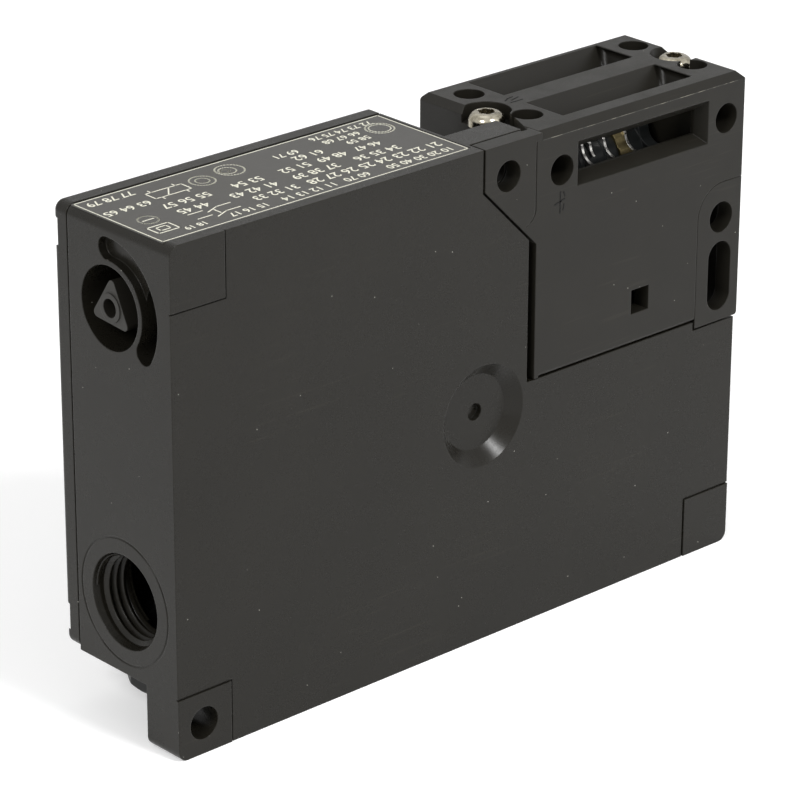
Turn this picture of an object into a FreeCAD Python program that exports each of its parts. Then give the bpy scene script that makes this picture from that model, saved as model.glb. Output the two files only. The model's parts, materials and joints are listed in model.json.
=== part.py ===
"""Solenoid guard-locking tongue interlock switch, 130 x 90 x 30 mm.

Drafting frame: x runs along the length from the cable end, y is the depth from the mounting
face towards the lid, z is the height above the foot. Every solid is moved at export so that
the origin is on the axis of the lower fixing hole, in the mounting face.
"""

import FreeCAD, Part
import math
import os

V = FreeCAD.Vector
X_AXIS, Y_AXIS, Z_AXIS = V(1, 0, 0), V(0, 1, 0), V(0, 0, 1)

# ---- overall sizes --------------------------------------------------------------------------
length = 130.0            # overall, along x
height = 90.0             # overall, along z
head_length = 50.5        # head, without its left ear
head_height = 44.28
head_depth = 29.6         # mounting face to the far face of the head
housing_short = 0.6       # housing end stops this short of the head's end
body_depth = 25.6         # mounting face to the housing rim
lid_seam = 0.3            # open seam between housing rim and lid
lid_thick = 3.5           # rim of the lid to its outer face
wall = 2.4                # moulded side walls
floor_thick = 3.0         # wall behind the mounting face
corner_r = 1.8            # rounded outer corners

# ---- running and seating clearances ---------------------------------------------------------
seat = 0.15               # flat gap between parts that seat
loose = 0.3               # gap between parts that must never touch
running = 0.05            # radial clearance of a running fit
screw_clear = 0.2         # radial clearance of a screw in its through hole
head_seam = 0.22          # seam between the head and the housing below it
thread_slack = 0.02       # a screw or rivet is drawn this much smaller than its hole
spring_slack = 0.02       # gap at each seated end of a spring
mitre = math.tan(math.radians(22.5))    # shift of a 45 degree corner when an outline moves inwards

# ---- foot strip and fixing points -----------------------------------------------------------
foot_height = 11.24
foot_depth = 8.2
foot_edge_r = 0.6
hole_x, hole_z, hole_r = 5.3, 5.6, 2.9
corner_pad = 11.2         # square seats at the corners of the mounting face
pad_relief = 0.15         # the rest of the face lies this much lower
pad_groove = 0.3          # width of the fine groove round each seat
pad_groove_depth = 0.45

# ---- head's place, and what follows from it -------------------------------------------------
head_x = length - head_length
head_z = height - head_height
head_mid_x = head_x + 25.5
notch_x = head_x - 12.4           # notch in the housing that takes the head and its ear
notch_inner_x = head_x - 1.6
notch_chamfer_z = height - 7.7    # where the 45 degree edge starts
notch_floor_z = head_z - head_seam
notch_step_x = length - 11.1
notch_step_drop = 1.6
lug_y = 3.8                       # lug of the housing behind the head's left ear
lug_thick = 5.95
lug_end_x = head_x - 0.4

# ---- dished recess in the mounting face -----------------------------------------------------
dish_x, dish_z = head_x - 11.7, notch_floor_z - 3.3
dish_r, dish_floor_r, dish_depth = 9.44, 6.8, 2.4
pip_r, pip_depth = 1.55, 1.1

# ---- cable entries --------------------------------------------------------------------------
entry_r = 8.0             # M16 x 1.5 thread, over its roots
entry_mouth_r = 8.41
entry_y, entry_z = 13.4, 24.4
entry_depth = 8.0
entry_wall = 1.6
entry_mouth_depth = 1.2
spot_face_r, spot_face_width, spot_face_depth = 11.3, 0.35, 0.12
plug_x, plug_y = 13.5, 16.9
plug_entry_r = 7.2        # the second entry, which the blanking plug closes
plug_entry_depth = 5.0
plug_head_r, plug_head_thick, plug_bevel = 8.5, 6.0, 0.8
plug_flats = 12
plug_skin = 1.9
plug_seal_thick = 0.5
plug_shank_length = 4.3
plug_end_thick = 0.6
coin_slot_length, coin_slot_width, coin_slot_depth = 12.0, 1.6, 1.6

# ---- manual release -------------------------------------------------------------------------
key_y, key_z = 15.3, height - 14.6
key_recess_r, key_recess_depth = 7.18, 8.6
collar_thick = 0.92
arc_slot_width = 3.9
arc_slot_shallow, arc_slot_deep = 1.6, 6.5
arc_from, arc_step, arc_to = -3.0, 70.0, 122.0    # degrees from +z towards the mounting face
triangle_r, triangle_turn, triangle_tip_r = 4.75, 4.0, 0.8
key_ring_r, key_ring_height = 2.5, 0.25
key_stud_gap = 0.4        # the stud rises from the shank this far above the recess floor
spindle_dimple_r, spindle_dimple_depth = 1.6, 2.4
shank_r = 3.5
bush_length = 4.4
oring_tube_r = 0.5
oring_groove_x, oring_groove_width = key_recess_depth + 1.6, 1.3
clip_r, clip_thick = 2.6, 0.6
scroll_thick = 3.0
scroll_small_r = 4.2
release_travel = 3.0
release_turn_deg = 120.0

# ---- lid ------------------------------------------------------------------------------------
lid_skin = 2.0
lid_lip = 0.4             # the lid's hollow stays this far inside the housing wall
lid_edge_r = 1.1
screw_pocket_r, screw_pocket_depth = 4.2, 1.2
lid_screw_inset = 3.5     # from the nearest end of the housing
lid_screw_inset_z = 5.2
pan_head_r, pan_head_thick = 3.0, 1.3
screw_r = 1.5
lid_screw_bite = 6.0
pillar_r = 3.4
pillar_below = 3.0        # length of a pillar under its screw
hole_below = 0.6          # free depth under a screw's end
gasket_width, gasket_depth = 1.2, 1.0

# ---- label ----------------------------------------------------------------------------------
label_margin = 0.75
label_thick = 0.2
label_sunk = 0.05         # the film lies this much under the top face
label_y0, label_y1 = 2.5, 25.45

# ---- head -----------------------------------------------------------------------------------
head_edge = 1.25          # bevel round the top face
head_edge_r = 0.8
head_wall = 3.4
head_back_wall = 2.4      # wall on the lid's side
head_right_seam_x = length - 10.8
ear_x = head_x - 12.05
ear_thick = 3.4
ear_hole_x, ear_hole_z, ear_hole_r = head_x - 6.7, height - 5.8, 2.75
witness_width, witness_depth, witness_r = 0.2, 0.18, 3.0    # fine mould line between head and ear
lower_ear_top = head_z + 24.8
lower_ear_corner_r = 6.0
lower_ear_drop = 1.4
lower_ear_mid_x = length - 4.95
lower_hole_z = head_z + 18.28
lower_hole_r = 2.85
lower_slot_z, lower_slot_length = head_z + 7.18, 13.0
ear_bore_r = 4.3
cavity_left, cavity_right, cavity_right_low = head_x + 9.8, length - 8.8, length - 11.7
cavity_top, cavity_low_top = height - 5.6, lower_ear_top + 1.5
slot_length, slot_width = 32.8, 9.0
slot_throat_length, slot_throat_width = 30.4, 5.2
slot_funnel = 3.6
slot_corner_r = 1.2
slot_x = head_mid_x + 0.7
slot_y, slot_pitch = 8.6, 14.4
slot_ys = (slot_y, slot_y + slot_pitch)
window_length, window_height = 32.0, 8.0
window_throat_length, window_throat_height = 30.2, 4.5
window_z, window_throat_z = height - 7.45, height - 7.85
window_funnel = 2.8
cover_hole_r, cover_hole_depth = 2.7, 5.0
cover_hole_xs = (head_x + 5.8, length - 4.5)
cover_hole_z = height - 7.7
head_screw_inset = 2.35
head_screw_y = 15.0
head_screw_boss = 7.0
head_pocket_r = 4.3
head_pocket_depth = 2.7
head_pan_r, head_pan_thick = 3.2, 2.4
peep_z, peep_w, peep_h = head_z + 7.9, 4.3, 4.5
base_thick = 2.4
base_lap = 0.6            # the base plate reaches this far into the head's side walls
post_width, post_y_width = 2.4, 5.2

# ---- tongue drum ----------------------------------------------------------------------------
drum_y, drum_z = slot_y + slot_pitch / 2, height - 15.2
drum_r = 8.7
drum_core_r = 5.6
drum_x0, drum_x1 = cavity_left + 0.4, cavity_right_low - loose
drum_flange_left, drum_flange_right = 5.8, 2.4
drum_turn_deg = 55.0
axle_r = 2.0
axle_bite = 3.6
hub_r = axle_r + 0.6
disc_thick = 0.55
drum_cone_length = 4.9
disc_xs = (head_mid_x - 3.6, head_mid_x + 1.75, head_mid_x + 7.0)
half_disc_x = head_mid_x - 1.7    # this one stands over the cam and leaves out the plunger's side
driver_x, driver_width, driver_thick = head_mid_x + 4.6, 2.4, 0.6
cam_side, cam_track_r = 0.2, 5.4
tongue_bar_r = 3.0
near_rest, window_rest = 5.2, (1.0, 7.2)    # where a tongue's bar first meets the drum

# ---- locking bolt and solenoid --------------------------------------------------------------
bolt_y, bolt_z = drum_y + 3.4, drum_z - 5.8
bolt_r = 1.8
bolt_tip_bevel = 0.4
bolt_travel = 4.0
bush_r = bolt_r + 1.4
armature_r = 4.0
armature_bore_r, armature_bore_depth = 2.6, 6.7
spring_wire_r, spring_turns = 0.3, 5
bobbin_tube = 0.85
rivet_stand = 0.2         # the rivet's end stands this far out of the frame
bobbin_flange = 1.2
winding_r = armature_r + 3.2
bobbin_flange_r = winding_r + 0.4
coil_x0, coil_length = 26.0, 20.6
coil_x1 = coil_x0 + coil_length
coil_y, coil_z = bolt_y - 5.6, bolt_z
yoke_thick = 1.4
yoke_depth = 12.4
yoke_width = 2 * (bobbin_flange_r + yoke_thick)
pole_length = 3.2
pole_rivet_r = 2.0
arm_thick = 2.0
arm_x0 = coil_x1 + 0.4
shelf_thick = 2.0

# ---- contact blocks and terminals -----------------------------------------------------------
block_wall = 3.0
block_back, block_front = floor_thick + 3.0, body_depth - 1.0
lock_floor_z = coil_z - 25.0
lock_block = (arm_x0 - 9.0, arm_x0 + 15.0, block_back, block_front, lock_floor_z - 8.0, coil_z - 12.0)
contact_thick, contact_width, contact_length = 0.8, 2.4, 8.0
contact_gap = 0.15
contact_side = 4.0        # from the coil's axis to a strip on either side of the leg
lock_leg_width = 4.8
door_contact_length = 3.4
bridge_length = 4.0
terminal_pitch = 7.4
terminal_drop = 4.0
clamp_size, clamp_depth, clamp_wall = 5.0, 2.9, 0.8
clamp_hole_r = 1.25
clamp_fit, terminal_sunk = 0.1, 0.2
terminal_head_r, terminal_head_thick, terminal_slot = 2.2, 1.2, 0.6
block_post_r = 2.2

# ---- door plunger ---------------------------------------------------------------------------
plunger_x, plunger_y = head_mid_x - 0.7, drum_y
plunger_r, plunger_tip_r = 2.0, 0.3
cam_gap = 0.25            # the tip stands this far under the cam, which rises to one side of it
plunger_travel = 3.0
plunger_spring_length = 6.0
plunger_wire_r, plunger_spring_r = 0.25, 1.4
door_block_z = foot_height + wall + 0.5
door_floor_z = door_block_z + 2 * terminal_drop + 0.8
plunger_end_z = door_floor_z + plunger_spring_length
bridge_z = (plunger_end_z + 2.6, plunger_end_z + 2.6 + contact_thick)
door_block = (head_x + 13.5, head_x + 36.1, block_back, block_front, door_block_z,
              bridge_z[1] + contact_gap + contact_thick + 0.3)
flag_left, flag_right, flag_length = 3.6, 0.1, 6.5    # flag beside the middle of the small window

# =============================================================================================
# small helpers
# =============================================================================================


def box(x0, x1, y0, y1, z0, z1):
    """Block between three pairs of limits."""
    return Part.makeBox(x1 - x0, y1 - y0, z1 - z0, V(x0, y0, z0))


def cyl_x(r, x0, x1, y, z):
    return Part.makeCylinder(r, x1 - x0, V(x0, y, z), X_AXIS)


def cyl_y(r, x, y0, y1, z):
    return Part.makeCylinder(r, y1 - y0, V(x, y0, z), Y_AXIS)


def cyl_z(r, x, y, z0, z1):
    return Part.makeCylinder(r, z1 - z0, V(x, y, z0), Z_AXIS)


def cone_y(r0, r1, x, y0, y1, z):
    return Part.makeCone(r0, r1, y1 - y0, V(x, y0, z), Y_AXIS)


def prism_y(points, y0, y1):
    """Outline given as (x, z) pairs, extruded through the depth."""
    ring = [V(x, y0, z) for x, z in points]
    return Part.Face(Part.makePolygon(ring + ring[:1])).extrude(V(0, y1 - y0, 0))


def picked_edges(shape, wanted):
    return [e for e in shape.Edges if len(e.Vertexes) == 2 and all(wanted(v.Point) for v in e.Vertexes)]


def round_edges(shape, radius, wanted):
    """Fillet of the edges whose end points satisfy the given test."""
    return shape.makeFillet(radius, picked_edges(shape, wanted))


def bevel_edges(shape, size, wanted):
    """Chamfer of the edges whose end points satisfy the given test."""
    return shape.makeChamfer(size, picked_edges(shape, wanted))


def upright_edges(shape, radius, corners):
    """Fillet of the edges along y that stand at the given (x, z) corners."""
    def at_corner(edge):
        a, b = (v.Point for v in edge.Vertexes)
        level = abs(a.x - b.x) < 1e-6 and abs(a.z - b.z) < 1e-6
        return level and any(abs(a.x - x) < 1e-3 and abs(a.z - z) < 1e-3 for x, z in corners)
    edges = [e for e in shape.Edges if len(e.Vertexes) == 2 and at_corner(e)]
    return shape.makeFillet(radius, edges)


def long_hole_y(x, z, width, long_side, y0, y1):
    """Round-ended slot along z, extruded through the depth."""
    half = (long_side - width) / 2
    body = box(x - width / 2, x + width / 2, y0, y1, z - half, z + half)
    ends = [cyl_y(width / 2, x, y0, y1, z + side * half) for side in (-1, 1)]
    return body.multiFuse(ends).removeSplitter()


def tapered_z(x, y, outer, inner, z_top, z_low):
    """Rectangular funnel that narrows downwards."""
    wires = []
    for (lx, ly), z in ((outer, z_top), (inner, z_low)):
        pts = [V(x - lx / 2, y - ly / 2, z), V(x + lx / 2, y - ly / 2, z),
               V(x + lx / 2, y + ly / 2, z), V(x - lx / 2, y + ly / 2, z)]
        wires.append(Part.makePolygon(pts + pts[:1]))
    return Part.makeLoft(wires, True, True)


def spiral_x(cy, cz, start, stop, r0, r1):
    """Spiral edge in the yz plane; angles count from straight down towards the mounting face."""
    steps = max(2, int(abs(stop - start) / 12) + 1)
    pts = []
    for i in range(steps + 1):
        a = math.radians(start + (stop - start) * i / steps)
        r = r0 + (r1 - r0) * i / steps
        pts.append(V(0, cy - r * math.sin(a), cz - r * math.cos(a)))
    curve = Part.BSplineCurve()
    curve.interpolate(pts)
    return curve.toShape(), pts[0], pts[-1]


def pan_screw(head_r, head_thick, shaft_r, shaft_length, base, direction):
    """Pan-head screw with a domed head and a six-lobe socket, seated at base."""
    dome = head_thick * 0.55
    socket_r, socket_depth = head_r * 0.42, head_thick * 0.55
    profile = [V(0, 0, -shaft_length), V(shaft_r, 0, -shaft_length), V(shaft_r, 0, 0), V(head_r, 0, 0),
               V(head_r, 0, head_thick - dome)]
    shoulder = V(head_r * 0.86, 0, head_thick - dome * 0.33)
    top = V(head_r * 0.45, 0, head_thick)
    edges = [Part.LineSegment(a, b).toShape() for a, b in zip(profile, profile[1:])]
    edges.append(Part.Arc(profile[-1], shoulder, top).toShape())
    edges.append(Part.LineSegment(top, V(0, 0, head_thick)).toShape())
    edges.append(Part.LineSegment(V(0, 0, head_thick), profile[0]).toShape())
    screw = Part.Face(Part.Wire(edges)).revolve(V(0, 0, 0), Z_AXIS, 360)
    socket = Part.makeCylinder(socket_r, socket_depth, V(0, 0, head_thick - socket_depth))
    for i in range(6):
        a = math.radians(60 * i)
        centre = V(socket_r * math.cos(a), socket_r * math.sin(a), head_thick - socket_depth)
        lobe = Part.makeCylinder(socket_r * 0.3, socket_depth, centre)
        socket = socket.fuse(lobe)
    screw = screw.cut(socket)
    screw.Placement = FreeCAD.Placement(V(*base), FreeCAD.Rotation(Z_AXIS, direction))
    return screw


def coil_spring(x, y, z0, z1, mean_r, wire_r, turns):
    """Open coil spring standing along z, with its wire ends inside z0 and z1."""
    rise = z1 - z0 - 2 * wire_r
    helix = Part.makeHelix(rise / turns, rise, mean_r)
    section = Part.Wire(Part.Circle(V(mean_r, 0, 0), Y_AXIS, wire_r).toShape())
    spring = Part.Wire(helix).makePipeShell([section], True, True)
    return spring.translated(V(x, y, z0 + wire_r))


# =============================================================================================
# housing
# =============================================================================================

housing_end = length - housing_short
lid_y0 = body_depth + lid_seam
lid_y1 = lid_y0 + lid_thick
notch_corner_z = notch_chamfer_z - (notch_inner_x - notch_x)
notch_step_z = notch_floor_z - notch_step_drop
head_screw_xs = (head_x + head_screw_inset, length - head_screw_inset)
deck_z = notch_floor_z - wall          # underside of the wall below the head
spindle_bush_x = key_recess_depth + bush_length


def body_outline(inset=0.0, left=0.0):
    """Outer L-shaped outline of housing and lid, moved inwards by the inset."""
    return [(left + inset, foot_height + inset), (housing_end - inset, foot_height + inset),
            (housing_end - inset, notch_step_z - inset), (notch_step_x - inset, notch_step_z - inset),
            (notch_step_x - inset, notch_floor_z - inset), (notch_inner_x - inset, notch_floor_z - inset),
            (notch_inner_x - inset, notch_corner_z - inset * mitre),
            (notch_x - inset, notch_chamfer_z - inset * mitre),
            (notch_x - inset, height - inset), (left + inset, height - inset)]


def lid_screw_places():
    low, high = foot_height + lid_screw_inset_z, height - lid_screw_inset_z
    left, right = lid_screw_inset, housing_end - lid_screw_inset
    return [(left, high), (notch_x - lid_screw_inset, high), (left, low), (right, low),
            (right, notch_step_z - lid_screw_inset_z)]


def arc_slot(inner_r, outer_r, deg0, deg1, depth):
    """Curved slot round the key recess, cut into the end face."""
    mid_r, half = (inner_r + outer_r) / 2, (outer_r - inner_r) / 2
    ring = cyl_x(outer_r, 0, depth, key_y, key_z).cut(cyl_x(inner_r, 0, depth, key_y, key_z))

    def spoke(deg, r):
        a = math.radians(deg)
        return V(0, key_y - r * math.sin(a), key_z + r * math.cos(a))
    reach = outer_r * 3
    fan = [V(0, key_y, key_z)] + [spoke(deg0 + (deg1 - deg0) * i / 4, reach) for i in range(5)]
    sector = Part.Face(Part.makePolygon(fan + fan[:1])).extrude(V(depth, 0, 0))
    slot = ring.common(sector)
    for deg in (deg0, deg1):
        c = spoke(deg, mid_r)
        slot = slot.fuse(cyl_x(half, 0, depth, c.y, c.z))
    return slot.removeSplitter()


def make_housing():
    body = prism_y(body_outline(), 0, body_depth)
    body = upright_edges(body, corner_r, [(0, height), (housing_end, foot_height)])
    foot = prism_y([(0, 0), (housing_end, 0), (housing_end, foot_height + wall), (0, foot_height + wall)],
                   0, foot_depth)
    foot = upright_edges(foot, corner_r, [(0, 0), (housing_end, 0)])
    body = body.fuse(foot).removeSplitter()

    # inside of the box: wide chamber on the left, contact chamber below the head
    body = body.cut(prism_y(body_outline(wall), floor_thick, body_depth + 1))

    # lug that lies behind the head's left ear
    lug = box(notch_x - wall / 2, lug_end_x, lug_y, lug_y + lug_thick, notch_corner_z - 1, height)
    body = body.fuse(lug)
    body = body.cut(cyl_y(ear_hole_r, ear_hole_x, 0, lug_y + lug_thick + 1, ear_hole_z))

    # lid pillars, trimmed to the outer form
    pillar_y = body_depth - lid_screw_bite - pillar_below
    pillars = [cyl_y(pillar_r, x, pillar_y, body_depth, z) for x, z in lid_screw_places()]
    outer = prism_y(body_outline(), 0, body_depth)
    for pillar in pillars:
        body = body.fuse(pillar.common(outer))

    # bosses of the two cable entries
    body = body.fuse(cyl_x(entry_r + entry_wall, 0, entry_depth, entry_y, entry_z))
    plug_boss = cyl_z(plug_entry_r + entry_wall, plug_x, plug_y,
                      foot_height, foot_height + plug_entry_depth)
    body = body.fuse(plug_boss.common(box(0, length, floor_thick / 2, body_depth, 0, height)))
    body = body.cut(cyl_x(entry_r, -1, entry_depth + 1, entry_y, entry_z))
    mouth = Part.makeCone(entry_mouth_r, entry_r, entry_mouth_depth, V(0, entry_y, entry_z), X_AXIS)
    body = body.cut(mouth)
    body = body.cut(cyl_x(spot_face_r, -1, spot_face_depth, entry_y, entry_z).cut(
        cyl_x(spot_face_r - spot_face_width, -1, spot_face_depth, entry_y, entry_z)))
    plug_top = foot_height + plug_entry_depth + 1
    body = body.cut(cyl_z(plug_entry_r, plug_x, plug_y, foot_height - 1, plug_top))

    # key recess, its bush and the curved slot around it
    block_r = key_recess_r + collar_thick + arc_slot_width + 0.8
    key_block = cyl_x(block_r, 0, arc_slot_deep + 1.2, key_y, key_z)
    bush = cyl_x(key_recess_r + 1.2, 0, spindle_bush_x, key_y, key_z)
    body = body.fuse(key_block.fuse(bush).common(prism_y(body_outline(), floor_thick / 2, body_depth)))
    body = body.cut(cyl_x(key_recess_r, -1, key_recess_depth, key_y, key_z))
    body = body.cut(cyl_x(shank_r + running, 0, spindle_bush_x + 1, key_y, key_z))
    inner_r = key_recess_r + collar_thick
    outer_r = inner_r + arc_slot_width
    body = body.cut(arc_slot(inner_r, outer_r, arc_from, arc_to, arc_slot_shallow))
    body = body.cut(arc_slot(inner_r, outer_r, arc_step, arc_to, arc_slot_deep))

    # dished recess with a pip hole, and the thicker floor behind it
    body = body.fuse(cyl_y(dish_r - 0.6, dish_x, floor_thick / 2, dish_depth + pip_depth + 0.7, dish_z))
    body = body.cut(cone_y(dish_r, dish_floor_r, dish_x, 0, dish_depth, dish_z))
    body = body.cut(cyl_y(pip_r, dish_x, 0, dish_depth + pip_depth, dish_z))

    # lid screw holes, and the gasket groove in the rim
    for x, z in lid_screw_places():
        body = body.cut(cyl_y(screw_r, x, body_depth - lid_screw_bite - hole_below, body_depth + 1, z))
    body = body.cut(gasket_ring(gasket_width + 0.1, body_depth - gasket_depth, body_depth + 1))

    # fixing hole, and the low field between the square corner seats
    body = body.cut(cyl_y(hole_r, hole_x, -1, foot_depth + 1, hole_z))
    field = box(-1, length + 1, -1, pad_relief, -1, height + 1)
    near_end, far_end = (-1, corner_pad), (housing_end - corner_pad, length + 1)
    for (x0, x1), (z0, z1) in ((near_end, (-1, corner_pad)), (far_end, (-1, corner_pad)),
                               (near_end, (height - corner_pad, height + 1))):
        field = field.cut(box(x0, x1, -2, pad_relief + 1, z0, z1))
        groove = box(x0 - pad_groove, x1 + pad_groove, -1, pad_groove_depth,
                     z0 - pad_groove, z1 + pad_groove)
        body = body.cut(groove.cut(box(x0, x1, -2, pad_groove_depth + 1, z0, z1)))
    body = body.cut(field)

    # bore in the deck for the door plunger, and the boss under it for the long head screw
    body = body.fuse(cyl_z(pillar_r, head_screw_xs[0], head_screw_y, deck_z - head_screw_boss, deck_z))
    body = body.cut(cyl_z(screw_r, head_screw_xs[0], head_screw_y,
                          deck_z - head_screw_boss + 1, notch_floor_z + 1))
    body = body.cut(cyl_z(plunger_r + running, plunger_x, plunger_y, deck_z - 1, notch_floor_z + 1))
    # seat of the bolt's bush in the wall beside the head
    body = body.cut(cyl_x(bush_r, notch_inner_x - wall - 1, notch_inner_x + 1, bolt_y, bolt_z))

    # label recess in the top face
    gap = running * 2
    body = body.cut(box(label_margin - gap, notch_x - label_margin + gap, label_y0 - gap, body_depth,
                        height - label_sunk - label_thick, height + 1))

    # shelves that hold the solenoid frame
    for z in (coil_z - yoke_width / 2 - seat - shelf_thick, coil_z + yoke_width / 2 + seat):
        body = body.fuse(box(coil_x0 + 4, coil_x1 - 4, floor_thick / 2, coil_y, z, z + shelf_thick))
    # posts that the two contact blocks stand on
    for x0, x1, y0, y1, z0, z1 in (lock_block, door_block):
        for x in (x0 + block_post_r + 1, x1 - block_post_r - 1):
            body = body.fuse(cyl_y(block_post_r, x, floor_thick / 2, y0, z0 + 2 * block_post_r))
    return body.removeSplitter()


def gasket_ring(width, y0, y1):
    """Band that runs round the rim, half way through the wall."""
    outer = prism_y(body_outline((wall - width) / 2), y0, y1)
    inner = prism_y(body_outline((wall + width) / 2), y0 - 1, y1 + 1)
    ring = outer.cut(inner)
    for x, z in lid_screw_places():
        ring = ring.cut(cyl_y(screw_r + 0.7, x, y0 - 1, y1 + 1, z))
    return ring


def make_lid():
    tray = prism_y(body_outline(), lid_y0, lid_y1)
    tray = upright_edges(tray, corner_r, [(0, height), (0, foot_height), (housing_end, foot_height)])
    tray = round_edges(tray, lid_edge_r, lambda p: abs(p.y - lid_y1) < 1e-6)
    hollow = prism_y(body_outline(wall + lid_lip), lid_y0 - 1, lid_y1 - lid_skin)
    tray = tray.cut(hollow)
    pads = [cyl_y(pillar_r + 0.8, x, lid_y0, lid_y1 - lid_skin + 0.4, z) for x, z in lid_screw_places()]
    inside = prism_y(body_outline(0.8), lid_y0, lid_y1)
    for pad in pads:
        tray = tray.fuse(pad.common(inside))
    for x, z in lid_screw_places():
        tray = tray.cut(cyl_y(screw_pocket_r, x, lid_y1 - screw_pocket_depth, lid_y1 + 1, z))
        tray = tray.cut(cyl_y(screw_r + screw_clear, x, lid_y0 - 1, lid_y1, z))
    return tray.removeSplitter()


def make_lid_gasket():
    return gasket_ring(gasket_width, body_depth - gasket_depth, lid_y0)


def make_lid_screws():
    seat_y = lid_y1 - screw_pocket_depth
    shaft = seat_y - (body_depth - lid_screw_bite)
    shaft_r = screw_r - thread_slack
    return Part.makeCompound([pan_screw(pan_head_r, pan_head_thick, shaft_r, shaft, (x, seat_y, z), Y_AXIS)
                              for x, z in lid_screw_places()])


def make_label():
    top = height - label_sunk
    return box(label_margin, notch_x - label_margin, label_y0, label_y1, top - label_thick, top)


def make_plug():
    bottom, top = foot_height - plug_seal_thick - plug_head_thick, foot_height - plug_seal_thick
    ring = []
    for i in range(plug_flats):
        a = 2 * math.pi * (i + 0.5) / plug_flats
        ring.append(V(plug_x + plug_head_r * math.cos(a), plug_y + plug_head_r * math.sin(a), bottom))
    head = Part.Face(Part.makePolygon(ring + ring[:1])).extrude(V(0, 0, top - bottom))
    taper = Part.makeCone(plug_head_r - plug_bevel, plug_head_r - plug_bevel + plug_head_thick,
                          plug_head_thick, V(plug_x, plug_y, bottom), Z_AXIS)
    head = head.common(taper)
    thread_r = plug_entry_r - running
    shank_z = foot_height + plug_shank_length
    shank = cyl_z(thread_r, plug_x, plug_y, foot_height - plug_seal_thick, shank_z)
    hollow = cyl_z(thread_r - plug_skin, plug_x, plug_y, foot_height + plug_end_thick, shank_z + 1)
    coin_slot = box(plug_x - coin_slot_length / 2, plug_x + coin_slot_length / 2,
                    plug_y - coin_slot_width / 2, plug_y + coin_slot_width / 2,
                    bottom - 1, bottom + coin_slot_depth)
    return head.fuse(shank).cut(hollow).cut(coin_slot).removeSplitter()


def make_plug_seal():
    ring = cyl_z(plug_head_r - 0.5, plug_x, plug_y, foot_height - plug_seal_thick, foot_height)
    return ring.cut(cyl_z(plug_entry_r + 0.1, plug_x, plug_y, 0, height))


# =============================================================================================
# head
# =============================================================================================

head_floor_top = head_z + base_thick
axle_x0, axle_x1 = cavity_left - axle_bite, cavity_right + axle_bite
base_x0 = cavity_left - 2.6
head_seat_z = height - head_pocket_depth
post_z = height - 11.0
head_back = head_depth - head_back_wall          # inner face of the wall on the lid's side


def lower_ear_outline(gap=0.0):
    """Rounded corner block at the lower right of the head, as a solid through the depth."""
    left = head_right_seam_x + gap
    block = box(left, length, 0, head_depth, head_z - lower_ear_drop, lower_ear_top - gap)
    return upright_edges(block, lower_ear_corner_r - gap, [(left, lower_ear_top - gap)])


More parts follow.
